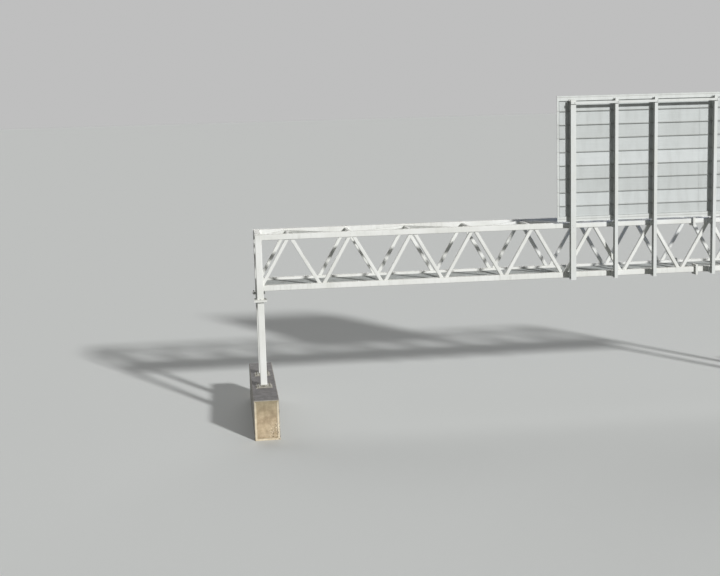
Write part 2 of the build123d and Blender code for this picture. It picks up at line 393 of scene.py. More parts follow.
blue_sheeting = bead_sheeting("blue_bead_sheeting", "1F55A4", "4A76B4")
white_sheeting = bead_sheeting("white_bead_sheeting", "E3E5E2", "CFD2D0")
print("sheeting:", blue_sheeting.name, white_sheeting.name)

# %% [markdown]
# ## Finish: board-marked concrete
# The plinths were cast against boards, which print their joints on the sides, and trapped air
# leaves small round holes. The near end has weathered to a sandy tan inside a paler margin, with
# damp under its top edge, the sides are grey-beige and the top, which was trowelled, is a darker
# grey. One corner of the left plinth is chipped. A brick texture with long low bricks draws the
# boards: fed with x + y as its first coordinate it wraps round the corners of a block. Sand shows
# as a fine grain over everything.

# %% Concrete
seep_depth = 0.9
chip_height = 0.3
chipped_corner = (plinth_high.x, plinth_low.y, chip_height)


def weathered_concrete(name, pale, dark, stain, stain_share, board_share, splash_share=0.45, seep_share=0.0):
    """Concrete with board marks, sand grain, air holes, a damp top or foot and one chipped corner."""
    finish, tree, shader, place = new_finish(name)
    across, along, height = add_node(tree, "SeparateXYZ", {0: place}).outputs
    around = add_node(tree, "Math", {0: across, 1: along}, operation="ADD")
    wrapped = add_node(tree, "CombineXYZ", {0: around, 1: height})
    boards = add_node(tree, "TexBrick", {"Vector": wrapped, "Color1": "000000", "Color2": "FFFFFF",
                                         "Mortar": (0.4, 0.4, 0.4, 1), "Scale": 1.0, "Mortar Size": 0.004,
                                         "Bias": 0.0, "Brick Width": 2.4, "Row Height": 0.145}, offset=0.4)
    joints = boards.outputs["Fac"]
    mottle = add_node(tree, "TexNoise", {"Vector": place, "Scale": 3.5, "Detail": 8.0, "Roughness": 0.62})
    cement = lay_over(tree, pale, dark, mottle, 0.36, 0.64)
    boarded = add_node(tree, "Mix", {MIX_FACTOR: board_share, MIX_FIRST: cement, MIX_SECOND: boards},
                       data_type="RGBA", blend_type="SOFT_LIGHT")
    colour = lay_over(tree, boarded.outputs[MIX_RESULT], stain, joints, share=board_share * 1.5)

    # Rain runs, water that seeps from the top edge, and soil splashed on the lowest 200 mm
    runs = add_node(tree, "Mapping", {"Vector": place, "Scale": (5.0, 5.0, 0.8)})
    rain = add_node(tree, "TexNoise", {"Vector": runs, "Scale": 1.0, "Detail": 6.0})
    colour = lay_over(tree, colour, stain, rain, 0.45, 0.75, stain_share)
    colour = lay_over(tree, colour, "6A6A54", height, leg_low.z - seep_depth, leg_low.z, seep_share)
    colour = lay_over(tree, colour, "6E604A", height, 0.22, 0.02, splash_share)

    # The left plinth is chipped at one corner, in ragged pale and dark patches of 40 to 80 mm
    from_corner = add_node(tree, "VectorMath", {0: place, 1: chipped_corner}, operation="DISTANCE")
    close = add_node(tree, "MapRange",
                     {"Value": from_corner.outputs["Value"], 1: 0.65, 2: 0.3, 3: 0.0, 4: 1.0})
    chips = add_node(tree, "TexNoise", {"Vector": place, "Scale": 9.0, "Detail": 6.0, "Roughness": 0.7})
    broken = add_node(tree, "MapRange", {"Value": chips, 1: 0.5, 2: 0.54, 3: 0.0, 4: 0.9})
    chipped = add_node(tree, "Math", {0: broken, 1: close}, operation="MULTIPLY")
    tone = add_node(tree, "TexNoise", {"Vector": place, "Scale": 17.0, "Detail": 4.0})
    bare = lay_over(tree, "7E6C52", "F4E4C8", tone, 0.42, 0.55)
    colour = lay_over(tree, colour, bare, chipped)

    # Sand of 5 to 10 mm, coarser than the real 2 mm
    sand = add_node(tree, "TexNoise", {"Vector": place, "Scale": 110.0, "Detail": 3.0})
    grainy = add_node(tree, "MapRange", {"Value": sand, 1: 0.3, 2: 0.7, 3: 0.2, 4: 0.8})
    grained = add_node(tree, "Mix", {MIX_FACTOR: 0.7, MIX_FIRST: colour, MIX_SECOND: grainy},
                       data_type="RGBA", blend_type="SOFT_LIGHT")

    # Board joints stand in relief, air holes about 25 mm apart are pits, and chips are hollows
    holes = add_node(tree, "TexVoronoi", {"Vector": place, "Scale": 34.0})
    pits = add_node(tree, "MapRange", {"Value": holes.outputs["Distance"], 1: 0.08, 2: 0.2, 3: 0.0, 4: 1.0})
    rough = pits
    for mark, depth in ((joints, board_share * 5), (sand, 0.8), (chipped, -3.0)):
        rough = add_node(tree, "Math", {0: mark, 1: depth, 2: rough}, operation="MULTIPLY_ADD")
    relief = add_node(tree, "Bump", {"Strength": 0.5, "Distance": 0.005, "Height": rough})
    set_sockets(tree, shader,
                {"Base Color": grained.outputs[MIX_RESULT], "Roughness": 0.85, "Normal": relief})
    return finish


side_concrete = weathered_concrete("board_marked_concrete", "B4B0A8", "918D85", "79746A",
                                   stain_share=0.45, board_share=0.3)
top_concrete = weathered_concrete("trowelled_concrete", "848180", "696766", "5C5A58",
                                  stain_share=0.4, board_share=0.0)
tan_concrete = weathered_concrete("tan_stained_concrete", "D0BC9C", "AE9A7E", "94805F",
                                  stain_share=0.35, board_share=0.08, splash_share=0.0, seep_share=0.55)
margin_concrete = weathered_concrete("pale_margin_concrete", "F2E6CC", "DCCDB0", "C4B290",
                                     stain_share=0.3, board_share=0.08, splash_share=0.0, seep_share=0.45)
mortar = weathered_concrete("bedding_mortar", "B8B4AA", "97938A", "7F7A70",
                            stain_share=0.3, board_share=0.0)
print("concretes:", side_concrete.name, top_concrete.name, tan_concrete.name, margin_concrete.name)

# %% [markdown]
# ## Modelling helpers
# A new piece starts as a primitive, and its faces and edges are picked by where they are and which
# way they face. These helpers select, add, cut, repeat and join, each by calling the same
# operators that a modeller would use by hand. Nothing is ever left selected from an earlier step.

# %% Select and pick
# Places closer than this count as one, and a direction with this share along an axis lies along it
same_place = 1e-4
along_axis = 0.9


def select(*pieces):
    """Select these pieces alone and make the first one active."""
    deselect()
    for piece in pieces:
        piece.select_set(True)
    bpy.context.view_layer.objects.active = pieces[0]


def edit_all(piece):
    """Go into edit mode with the whole piece selected."""
    select(piece)
    bpy.ops.object.mode_set(mode="EDIT")
    bpy.ops.mesh.select_all(action="SELECT")


def leave_edit():
    """Go back to object mode, which writes the edits to the mesh."""
    bpy.ops.object.mode_set(mode="OBJECT")


def pick(kind, wanted):
    """Go into edit mode with only the faces, edges or corners selected that pass a test."""
    bpy.ops.object.mode_set(mode="EDIT")
    bpy.ops.mesh.select_mode(type=kind)
    bpy.ops.mesh.select_all(action="DESELECT")
    leave_edit()
    mesh = bpy.context.object.data
    if kind == "FACE":
        for face in mesh.polygons:
            face.select = wanted(face.center, face.normal)
    elif kind == "EDGE":
        for edge in mesh.edges:
            start, end = (mesh.vertices[corner].co for corner in edge.vertices)
            edge.select = wanted((start + end) / 2, (end - start).normalized())
    else:
        for corner in mesh.vertices:
            corner.select = wanted(corner.co, corner.normal)
    bpy.ops.object.mode_set(mode="EDIT")


# %% Bevel and push what is picked
def bevel_edges(width, segments, wanted):
    """Bevel the edges of the active piece that pass a test."""
    pick("EDGE", wanted)
    bpy.ops.mesh.bevel(offset=width, segments=segments)
    leave_edit()


def push_faces(rim, step, wanted):
    """Inset the faces of the active piece that pass a test by a rim and extrude them by a step."""
    pick("FACE", wanted)
    if rim:
        bpy.ops.mesh.inset(thickness=rim)
    bpy.ops.mesh.extrude_region_move(TRANSFORM_OT_translate={"value": step})
    leave_edit()


# %% Add a block or a bar
def add_block(name, low, high):
    """A cube stretched from one corner to the other, its size and place held in its mesh."""
    low, high = Vector(low), Vector(high)
    deselect()
    bpy.ops.mesh.primitive_cube_add(size=1, location=(low + high) / 2, scale=high - low)
    bpy.ops.object.transform_apply()
    block = bpy.context.object
    block.name = name
    return block


def add_bar(name, start, end, width, corner_radius):
    """A square hollow section on the line between two points, its long edges rounded as rolled."""
    start, end = Vector(start), Vector(end)
    line = end - start
    deselect()
    bpy.ops.mesh.primitive_cube_add(size=1, location=(start + end) / 2, scale=(line.length, width, width),
                                    rotation=line.to_track_quat("X", "Z").to_euler())
    bpy.ops.object.transform_apply()
    bar = bpy.context.object
    bar.name = name
    along = line.normalized()
    bevel_edges(corner_radius, 3, lambda middle, run: abs(run.dot(along)) > along_axis)
    return bar


def soften(block, radius, segments=2):
    """Round every edge of a plate or block a little."""
    edit_all(block)
    bpy.ops.mesh.bevel(offset=radius, segments=segments)
    leave_edit()
    return block


# %% Cut and weld
weld_leg = 0.012


def cut_off(piece, point, outward):
    """Cut a piece by a plane, drop what lies beyond it and close the cut."""
    edit_all(piece)
    bpy.ops.mesh.bisect(plane_co=point, plane_no=outward, clear_outer=True, use_fill=True)
    leave_edit()


def weld_end(bar, point, outward, width):
    """Cut a bar at the face it meets and swell its last few millimetres into a fillet weld."""
    point, outward = Vector(point), Vector(outward)
    cut_off(bar, point, outward)
    edit_all(bar)
    bpy.ops.mesh.bisect(plane_co=point - outward * weld_leg, plane_no=outward)
    pick("VERT", lambda spot, normal: abs((spot - point).dot(outward)) < same_place)
    leave_edit()
    ring = [corner.co for corner in bar.data.vertices if corner.select]
    middle = sum(ring, Vector()) / len(ring)
    swell = 1 + 2 * weld_leg / width
    bpy.ops.object.mode_set(mode="EDIT")
    bpy.ops.transform.resize(value=(swell, swell, swell), center_override=middle)
    leave_edit()


# %% Repeat, copy, join and delete
def repeat(piece, count, step):
    """Copy a piece along a line by an Array modifier, applied."""
    select(piece)
    bpy.ops.object.modifier_add(type="ARRAY")
    array = piece.modifiers[-1]
    array.count = count
    array.use_relative_offset = False
    array.use_constant_offset = True
    array.constant_offset_displace = step
    bpy.ops.object.modifier_apply(modifier=array.name)
    return piece


def copy_to(piece, name, step):
    """A second piece with its own mesh, moved by a step."""
    select(piece)
    bpy.ops.object.duplicate()
    bpy.ops.transform.translate(value=step)
    bpy.ops.object.transform_apply()
    copy = bpy.context.object
    copy.name = name
    return copy


def join(name, pieces):
    """Join several meshes into one piece."""
    select(*pieces)
    if len(pieces) > 1:
        bpy.ops.object.join()
    whole = bpy.context.object
    whole.name = name
    return whole


def delete(*pieces):
    """Delete pieces that only served as a pattern."""
    select(*pieces)
    bpy.ops.object.delete()


# %% Finish a piece
smooth_angle = radians(35)
piece_count = 0
triangle_count = 0


def finish_piece(piece, material, slot, *nodes):
    """Smooth the rounded edges, give the finish and tie the piece to the frame."""
    global piece_count, triangle_count
    select(piece)
    bpy.ops.object.shade_smooth_by_angle(angle=smooth_angle)
    bpy.ops.object.modifier_add(type="WEIGHTED_NORMAL")
    weighted = piece.modifiers[-1]
    weighted.keep_sharp = True
    bpy.ops.object.modifier_apply(modifier=weighted.name)
    piece.data.name = piece.name
    if material:
        piece.data.materials.clear()
        piece.data.materials.append(material)
    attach(piece, "root")
    if nodes:
        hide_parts(*nodes)
    piece_count += 1
    triangle_count += sum(len(face.vertices) - 2 for face in piece.data.polygons)


# %% [markdown]
# ## Fasteners
# Everything bolted on a gantry shows hexagons: nuts on the anchor studs, bolt heads on the flange
# joints and brackets, small bolts on the clips. One fastener is a washer, a hexagon with its upper
# edges broken and, where it has one, a stud end. Each size is modelled once and then copied.

# %% Model one fastener
# The width of a hexagon across its flats, in radii of its corners
flats_in_radii = 1.732
head_top_share = 0.9
hexagon_sides = 6
washer_sides = 14


def add_disc(sides, radius, low_z, height, edge_break):
    """A disc or a hexagon that stands on a height, its upper edges broken."""
    deselect()
    bpy.ops.mesh.primitive_cylinder_add(vertices=sides, radius=radius, depth=height,
                                        location=(0, 0, low_z + height / 2))
    bpy.ops.object.transform_apply()
    bevel_edges(edge_break, 1, lambda middle, run: middle.z > low_z + height - same_place)
    return bpy.context.object


def add_fastener(name, flats, head, washer, thickness, stud=0.0, rise=0.0):
    """A washer and a hexagon standing on the plane z = 0, with a stud end above a nut."""
    disc = add_disc(washer_sides, washer / 2, 0, thickness, thickness / 4)
    hexagon = add_disc(hexagon_sides, flats / flats_in_radii, thickness, head, head / 8)
    if rise:
        push_faces((flats * head_top_share - stud) / 2, (0, 0, rise),
                   lambda middle, normal: normal.z > along_axis)
    return join(name, [disc, hexagon])


anchor_nut = add_fastener("anchor_nut", flats=0.055, head=0.029, washer=0.066, thickness=0.005,
                          stud=0.036, rise=0.04)
joint_bolt = add_fastener("joint_bolt", flats=0.046, head=0.019, washer=0.056, thickness=0.005)
plate_bolt = add_fastener("plate_bolt", flats=0.036, head=0.015, washer=0.044, thickness=0.004)
clip_bolt = add_fastener("clip_bolt", flats=0.019, head=0.008, washer=0.026, thickness=0.003)
print("fastener has", len(anchor_nut.data.polygons), "faces")

# %% Copy it to its places
face_up = (0, 0, 0)
face_down = (pi, 0, 0)
face_near = (pi / 2, 0, 0)
face_left = (0, -pi / 2, 0)
face_right = (0, pi / 2, 0)


def bolt_up(name, fastener, places, turn=face_up):
    """Copy a fastener to every place, turned to its face, and join the copies."""
    copies = []
    for place in places:
        select(fastener)
        bpy.ops.object.duplicate()
        copy = bpy.context.object
        copy.location = place
        copy.rotation_euler = turn
        copies.append(copy)
    select(*copies)
    bpy.ops.object.transform_apply()
    return join(name, copies)


# %% [markdown]
# ## Plinths
# Each plinth is one long block of concrete that lifts the steel well clear of the ground. A cube of
# the right size gets the chamfer that formwork gives its corners. The near and far ends are faces
# with a margin: an inset draws the margin and a short extrude sinks the middle by 15 mm, so the
# paler rim in the picture has an edge of its own. Along the top the rim is as damp and dark as the
# middle. The top, the sides, the margins and the ends' middles take four finishes, each given to
# its faces by the way they look.

# %% Cast the plinths
chamfer = 0.03
end_margin = 0.11
end_recess = 0.015
centre_reach = 0.2
margin_index, tan_index, top_index = 1, 2, 3


def cast_plinth(name, node):
    """A chamfered block with sunk ends, and a finish for each way its faces look."""
    low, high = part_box(node)
    block = add_block(name, low, high)
    bevel_edges(chamfer, 1, lambda middle, run: middle.z > high.z - same_place or abs(run.z) > along_axis)
    for side in (-1, 1):
        push_faces(end_margin - chamfer, (0, -side * end_recess, 0),
                   lambda middle, normal: normal.y * side > along_axis)
    for material in (side_concrete, margin_concrete, tan_concrete, top_concrete):
        block.data.materials.append(material)
    end_centre = Vector(((low.x + high.x) / 2, high.z / 2))
    for face in block.data.polygons:
        if abs(face.normal.y) > along_axis:
            inside = (face.center.xz - end_centre).length < centre_reach
            damp_rim = face.center.z > high.z - end_margin
            face.material_index = tan_index if inside or damp_rim else margin_index
        elif face.normal.z > along_axis:
            face.material_index = top_index
    finish_piece(block, None, "concrete", node)


cast_plinth("plinth_left_cast", "plinth_left")
cast_plinth("plinth_right_cast", "plinth_right")
print(f"plinth top at {plinth_high.z:.2f} m")

# %% [markdown]
# ## Legs
# A leg is a 300 mm square hollow section with a base plate and, under the truss, the flange of its
# bolted joint. The column is cut on each plate and its ends swell into the fillet weld. The plate
# stands on a bed of mortar that is trowelled to a slope. One leg is modelled at the left near
# corner and copied to the other three.

# %% Weld one leg
column_size = 0.30
column_radius = 0.03
plate_round = 0.004
base_thickness = 0.05
base_half = (leg_high.x - leg_low.x) / 2
flange_thickness = 0.05
flange_half = 0.28
flange_gap = 0.002
overshoot = 0.02
foot_z = leg_low.z + base_thickness
joint_z = leg_high.z
head_z = joint_z - flange_thickness
up, down = (0, 0, 1), (0, 0, -1)


def square_block(name, half, low_z, high_z):
    """A square block round the leg's centre line."""
    return add_block(name, (left_end - half, near_y - half, low_z), (left_end + half, near_y + half, high_z))


def square_plate(name, half, low_z, high_z):
    """A square plate round the leg's centre line with softened edges."""
    return soften(square_block(name, half, low_z, high_z), plate_round)


def add_column(name, low_z, high_z):
    """The leg's hollow section, a little longer at both ends than it has to be, to be cut there."""
    return add_bar(name, (left_end, near_y, low_z - overshoot), (left_end, near_y, high_z + overshoot),
                   column_size, column_radius)


base_plate = square_plate("base_plate", base_half, leg_low.z, foot_z)
leg_flange = square_plate("leg_flange", flange_half, head_z, joint_z - flange_gap / 2)
column = add_column("leg_column", foot_z, head_z)
weld_end(column, (0, 0, foot_z), down, column_size)
weld_end(column, (0, 0, head_z), up, column_size)
leg = join("leg_pattern", [column, base_plate, leg_flange])
print("leg:", len(leg.data.polygons), "faces")

# %% Its mortar bed and bolts
mortar_half = 0.37
mortar_rise = 0.022
mortar_slope = 0.9
anchor_reach = 0.262
joint_reach = 0.22
bed_foot = (left_end, near_y, leg_low.z)
bed = square_block("mortar_pattern", mortar_half, leg_low.z, leg_low.z + mortar_rise)
pick("FACE", lambda middle, normal: normal.z > along_axis)
bpy.ops.transform.resize(value=(mortar_slope, mortar_slope, 1), center_override=bed_foot)
leave_edit()


def bolt_square(reach, height):
    """Eight places on a square round the leg, at its corners and the middles of its sides."""
    steps = [(across, along) for along in (-1, 0, 1) for across in (-1, 0, 1) if across or along]
    return [(left_end + across * reach, near_y + along * reach, height) for across, along in steps]


anchors = bolt_up("anchor_pattern", anchor_nut, bolt_square(anchor_reach, foot_z))
heads = bolt_up("joint_heads", joint_bolt, bolt_square(joint_reach, joint_z + flange_thickness))
nuts = bolt_up("joint_nuts", joint_bolt, bolt_square(joint_reach, head_z), face_down)
joint_set = join("joint_pattern", [heads, nuts])
print("bolts of its joint:", len(joint_set.data.polygons), "faces")

# %% [markdown]
# ## End posts
# Above the joint the leg goes on as the end post of the truss, up to a cap plate level with the top
# of the chords. The chords and crossbars are welded to its sides.

# %% Weld one end post
cap_thickness = 0.012
cap_half = 0.158
post_foot = joint_z + flange_thickness
post_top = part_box("end_post_left_near")[1].z
post_flange = square_plate("post_flange", flange_half, joint_z + flange_gap / 2, post_foot)
post_cap = square_plate("post_cap", cap_half, post_top - cap_thickness, post_top)
column = add_column("end_post_column", post_foot, post_top)
weld_end(column, (0, 0, post_foot), down, column_size)
cut_off(column, (0, 0, post_top - cap_thickness), up)
end_post = join("end_post_pattern", [column, post_flange, post_cap])
print("end post:", len(end_post.data.polygons), "faces")

# %% Copy legs, end posts, beds and bolts to the four corners
corner_steps = {
    "left_far": (0, far_y - near_y, 0),
    "right_near": (right_end - left_end, 0, 0),
    "right_far": (right_end - left_end, far_y - near_y, 0),
}
near_left_pieces = (leg, end_post, bed, anchors, joint_set)


def finish_corner(corner, leg, end_post, bed, anchors, joint_set):
    """Name and finish the pieces that stand at one corner."""
    for piece, name, material, slot, *nodes in (
            (leg, f"leg_{corner}_welded", truss_paint, "truss_steel", f"leg_{corner}"),
            (end_post, f"end_post_{corner}_welded", truss_paint, "truss_steel", f"end_post_{corner}"),
            (bed, f"leg_{corner}_mortar", mortar, "concrete"),
            (anchors, f"leg_{corner}_anchors", anchor_zinc, "floor_grating"),
            (joint_set, f"leg_joint_{corner}_bolts", bolt_zinc, "floor_grating")):
        piece.name = name
        finish_piece(piece, material, slot, *nodes)


for corner, step in corner_steps.items():
    finish_corner(corner, *[copy_to(piece, "corner_copy", step) for piece in near_left_pieces])
finish_corner("left_near", *near_left_pieces)
print("pieces so far", piece_count)

# %% [markdown]
# ## Crossbars
# At each end a chord-sized bar ties the near and far end posts at the bottom and at the top. It is
# cut on the two posts and welded all round.

# %% Weld the crossbars
chord_radius = 0.025
chord_levels = {"bottom": bottom_chord_z, "top": top_chord_z}
for end_name, end_x in (("left", left_end), ("right", right_end)):
    for level, level_z in chord_levels.items():
        node = f"end_crossbar_{end_name}_{level}"
        crossbar = add_bar(f"{node}_welded", (end_x, near_y, level_z), (end_x, far_y, level_z),
                           chord_size, chord_radius)
        weld_end(crossbar, (0, near_y + column_size / 2, 0), (0, -1, 0), chord_size)
        weld_end(crossbar, (0, far_y - column_size / 2, 0), (0, 1, 0), chord_size)
        finish_piece(crossbar, truss_paint, "truss_steel", node)
print("crossbars welded")

# %% [markdown]
# ## Side faces of the truss
# Each side is two chords with a zigzag of 150 mm diagonals and no uprights. The two diagonals of
# one bay are modelled, cut on the chords and welded. An Array modifier repeats them ten times, and
# the outermost feet are cut off on the end posts. The far side is a copy of the near one.

# %% Weld the zigzag
diagonal_size = 0.15
diagonal_radius = 0.018
node_offset = 0.035
bay_middle = left_end + bay_length / 2
bay_end = left_end + bay_length

rising = add_bar("rising_diagonal", (left_end + node_offset, near_y, bottom_chord_z),
                 (bay_middle - node_offset, near_y, top_chord_z), diagonal_size, diagonal_radius)
falling = add_bar("falling_diagonal", (bay_middle + node_offset, near_y, top_chord_z),
                  (bay_end - node_offset, near_y, bottom_chord_z), diagonal_size, diagonal_radius)
for diagonal in (rising, falling):
    weld_end(diagonal, (0, 0, chord_top_face), down, diagonal_size)
    weld_end(diagonal, (0, 0, chord_under_face), up, diagonal_size)
zigzag = repeat(join("zigzag", [rising, falling]), bay_count, (bay_length, 0, 0))
cut_off(zigzag, (near_low.x, 0, 0), (-1, 0, 0))
cut_off(zigzag, (near_high.x, 0, 0), (1, 0, 0))
print("zigzag", len(zigzag.data.polygons), "faces")

# %% Add the chords and copy the face
chords = []
for level_z in chord_levels.values():
    chord = add_bar("chord", (left_end, near_y, level_z), (right_end, near_y, level_z),
                    chord_size, chord_radius)
    weld_end(chord, (near_low.x, 0, 0), (-1, 0, 0), chord_size)
    weld_end(chord, (near_high.x, 0, 0), (1, 0, 0), chord_size)
    chords.append(chord)
near_face = join("near_truss_face_welded", [zigzag, *chords])
far_face = copy_to(near_face, "far_truss_face_welded", (0, far_y - near_y, 0))
finish_piece(near_face, truss_paint, "truss_steel", "near_truss_face")
finish_piece(far_face, truss_paint, "truss_steel", "far_truss_face")
print("near face", len(near_face.data.polygons), "faces")

# %% [markdown]
# ## Plan bracing
# Seen from above, a strut crosses the truss at every node, and one bar runs slantwise in each bay.
# They are 120 mm sections, cut on the inner faces of the chords. Three of them cross where they
# meet at a node. Surfaces that lie in one plane and overlap render black, so the slanting bars are
# modelled a hair slimmer, those of odd bays by one step and those of even bays by two.

# %% Weld the plan bracing
bracing_size = 0.12
bracing_radius = 0.015
slimmer_step = 0.0015
overrun = 0.3
inner_near = near_y + chord_size / 2
inner_far = far_y - chord_size / 2
crossbar_face = left_end + chord_size / 2


def plan_bracing(node, strut_xs):
    """Struts at the given places, and a slanting bar from each to the next."""
    low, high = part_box(node)
    level_z = (low.z + high.z) / 2
    bars = []
    stops = [left_end, *strut_xs, right_end]
    lines = [((stop, near_y), (stop, far_y), bracing_size) for stop in strut_xs]
    for bay, (start_x, end_x) in enumerate(zip(stops[:-1], stops[1:])):
        even = bay % 2
        start_y, end_y = (inner_far, inner_near) if even else (inner_near, inner_far)
        drift = overrun * (end_y - start_y) / (end_x - start_x)
        lines.append(((start_x - overrun, start_y - drift), (end_x + overrun, end_y + drift),
                      bracing_size - slimmer_step * (1 + even)))
    for start, end, size in lines:
        bar = add_bar("bracing_bar", (*start, level_z), (*end, level_z), size, bracing_radius)
        weld_end(bar, (0, inner_near, 0), (0, -1, 0), size)
        weld_end(bar, (0, inner_far, 0), (0, 1, 0), size)
        bars.append(bar)
    bracing = join(f"{node}_welded", bars)
    cut_off(bracing, (crossbar_face, 0, 0), (-1, 0, 0))
    cut_off(bracing, (-crossbar_face, 0, 0), (1, 0, 0))
    finish_piece(bracing, truss_paint, "truss_steel", node)
    return len(bars)


bottom_nodes = [left_end + bay * bay_length for bay in range(1, bay_count)]
top_nodes = [left_end + (bay + 0.5) * bay_length for bay in range(bay_count)]
bar_count = plan_bracing("bottom_plan_bracing", bottom_nodes) + plan_bracing("top_plan_bracing", top_nodes)
print(bar_count, "bracing bars")

# %% [markdown]
# ## Walkway grating
# The floor inside the truss is open grating: flat bars on edge, 41 mm apart, with round rods pressed
# through them every 100 mm and a flat band round each panel. One bar and one rod are modelled and
# repeated into a panel, and the panels are repeated along the truss. Seen at a low angle the bars
# close up into a grey strip, which is how the floor reads in the picture.

# %% Set the bars
floor_low, floor_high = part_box("walkway_floor")
panel_gap = 0.006
panel_length = (floor_high.x - floor_low.x) / bay_count
band_thickness = 0.006
band_round = 0.001
bar_thickness = 0.005
bar_pitch = 0.041
bar_drop = 0.001
bar_edge = 0.0012
panel_low = Vector((floor_low.x + panel_gap / 2, floor_low.y, floor_low.z))
panel_high = Vector((floor_low.x + panel_length - panel_gap / 2, floor_high.y, floor_high.z))
bar_rows = int((floor_high.y - floor_low.y - 2 * band_thickness) / bar_pitch)
first_bar_y = -(bar_rows - 1) * bar_pitch / 2

bearing_bar = add_block("bearing_bar", (panel_low.x, first_bar_y - bar_thickness / 2, floor_low.z),
                        (panel_high.x, first_bar_y + bar_thickness / 2, floor_high.z - bar_drop))
bevel_edges(bar_edge, 1, lambda middle, run: abs(run.x) > along_axis
            and middle.z > floor_high.z - 2 * bar_drop)
repeat(bearing_bar, bar_rows, (0, bar_pitch, 0))
print(bar_rows, "bars in a panel")

# %% Press the rods through them
rod_pitch = 0.1
rod_radius = 0.0045
rod_flattening = 0.0015
rod_depth = 0.006
rod_z = floor_high.z - rod_depth
rod_count = int(panel_length / rod_pitch)
first_rod_x = floor_low.x + panel_length / 2 - (rod_count - 1) * rod_pitch / 2
deselect()
bpy.ops.mesh.primitive_cylinder_add(vertices=hexagon_sides, radius=rod_radius,
                                    depth=floor_high.y - floor_low.y,
                                    location=(first_rod_x, 0, rod_z), rotation=(pi / 2, 0, 0))
bpy.ops.object.transform_apply()
rod = bpy.context.object
pick("VERT", lambda spot, normal: spot.z > rod_z + same_place)
bpy.ops.transform.translate(value=(0, 0, -rod_flattening))
leave_edit()
repeat(rod, rod_count, (rod_pitch, 0, 0))
print(rod_count, "rods in a panel")

# %% Band the panel and lay the floor with it
bands = []
for axis in (0, 1):
    low_band_end, high_band_start = panel_high.copy(), panel_low.copy()
    low_band_end[axis] = panel_low[axis] + band_thickness
    high_band_start[axis] = panel_high[axis] - band_thickness
    for low, high in ((panel_low, low_band_end), (high_band_start, panel_high)):
        bands.append(soften(add_block("band", low, high), band_round, segments=1))
panel = join("walkway_grating", [bearing_bar, rod, *bands])
repeat(panel, bay_count, (panel_length, 0, 0))
finish_piece(panel, grating_zinc, "floor_grating", "walkway_floor")
print("grating", len(panel.data.polygons), "faces")

# %% [markdown]
# ## Bolted joints of the chords
# The truss is delivered in lengths. Where two meet, each chord ends in a flange plate, and a
# row of bolts pulls the pair together. The pair is two softened plates with a hairline between
# them, and the bolts stand on the lips at the sides and below, where a spanner can reach.

# %% Bolt the chord joints
plate_gap = 0.003
lip_bolt_inset = 0.055
lip_bolt_step = 0.085
for side, chord_y in (("near", near_y), ("far", far_y)):
    for level, level_z in chord_levels.items():
        node = f"chord_splice_{side}_{level}"
        low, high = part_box(node)
        joint_x = (low.x + high.x) / 2
        plates = []
        for start_x, end_x in ((low.x, joint_x - plate_gap / 2), (joint_x + plate_gap / 2, high.x)):
            plate = add_block("splice_plate", (start_x, low.y, low.z), (end_x, high.y, high.z))
            plates.append(soften(plate, plate_round))
        finish_piece(join(f"{node}_plates", plates), truss_paint, "truss_steel", node)

        side_reach = (high.y - low.y) / 2 - lip_bolt_inset
        under_z = low.z + lip_bolt_inset
        spots = [(chord_y + a * side_reach, level_z + b * lip_bolt_step) for a in (-1, 1) for b in (-1, 1)]
        lip_heights = (under_z, high.z - lip_bolt_inset) if level == "bottom" else (under_z,)
        spots += [(chord_y + a * reach, lip_z)
                  for a in (-1, 1) for reach in (lip_bolt_step, side_reach) for lip_z in lip_heights]
        left_heads = bolt_up("left_heads", plate_bolt, [(low.x, y, z) for y, z in spots], face_left)
        right_nuts = bolt_up("right_nuts", plate_bolt, [(high.x, y, z) for y, z in spots], face_right)
        finish_piece(join(f"{node}_bolts", [left_heads, right_nuts]), bolt_zinc, "floor_grating")
print("four chord joints bolted")

# %% [markdown]
# ## Sign posts
# The posts are rolled I-sections, 250 mm deep. Modelling starts with the web: a thin upright block.
# Its two narrow faces are extruded to the thickness of the flanges, and the sides of those ends are
# extruded outwards to the flange width. Faces that lie in one plane are merged, so that each end is
# one I-shaped face. Then the four inner corners are bevelled, which on a hollow corner adds the
# root fillet that rolling leaves.

# %% Roll the posts
web_thickness = 0.014
flange_plate = 0.020
root_radius = 0.014
toe_radius = 0.002


def roll_post(name, node):
    """A rolled I-section drawn out of its web, with root fillets and broken flange edges."""
    low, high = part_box(node)
    centre_x = (low.x + high.x) / 2
    half_web = web_thickness / 2
    wing = (high.x - low.x - web_thickness) / 2
    front = low.y + flange_plate
    back = high.y - flange_plate
    post = add_block(name, (centre_x - half_web, front, low.z), (centre_x + half_web, back, high.z))
    for side in (-1, 1):
        push_faces(0, (0, side * flange_plate, 0), lambda middle, normal: normal.y * side > along_axis)
    for side in (-1, 1):
        push_faces(0, (side * wing, 0, 0),
                   lambda middle, normal: normal.x * side > along_axis and not front < middle.y < back)
    edit_all(post)
    bpy.ops.mesh.dissolve_limited(angle_limit=radians(1))
    bevel_edges(root_radius, 3, lambda middle, run: abs(run.z) > along_axis
                and abs(abs(middle.x - centre_x) - half_web) < same_place
                and min(abs(middle.y - front), abs(middle.y - back)) < same_place)
    bevel_edges(toe_radius, 1, lambda middle, run: abs(run.z) > along_axis
                and abs(middle.x - centre_x) > half_web + wing - same_place)
    finish_piece(post, post_paint, "post_steel", node)
    return post


post_boxes = {number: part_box(f"sign_post_{number}") for number in (1, 2, 3, 4)}
for number in post_boxes:
    post = roll_post(f"sign_post_{number}_rolled", f"sign_post_{number}")
print("a post has", len(post.data.polygons), "faces")

# %% [markdown]
# ## Brackets between posts and chords
# The welded brackets of the CAD model are right as they stand and only take paint. Their bolts are
# new: four through each chord plate, and four through each post plate and the post's back flange,
# whose heads sit inside the I-section.

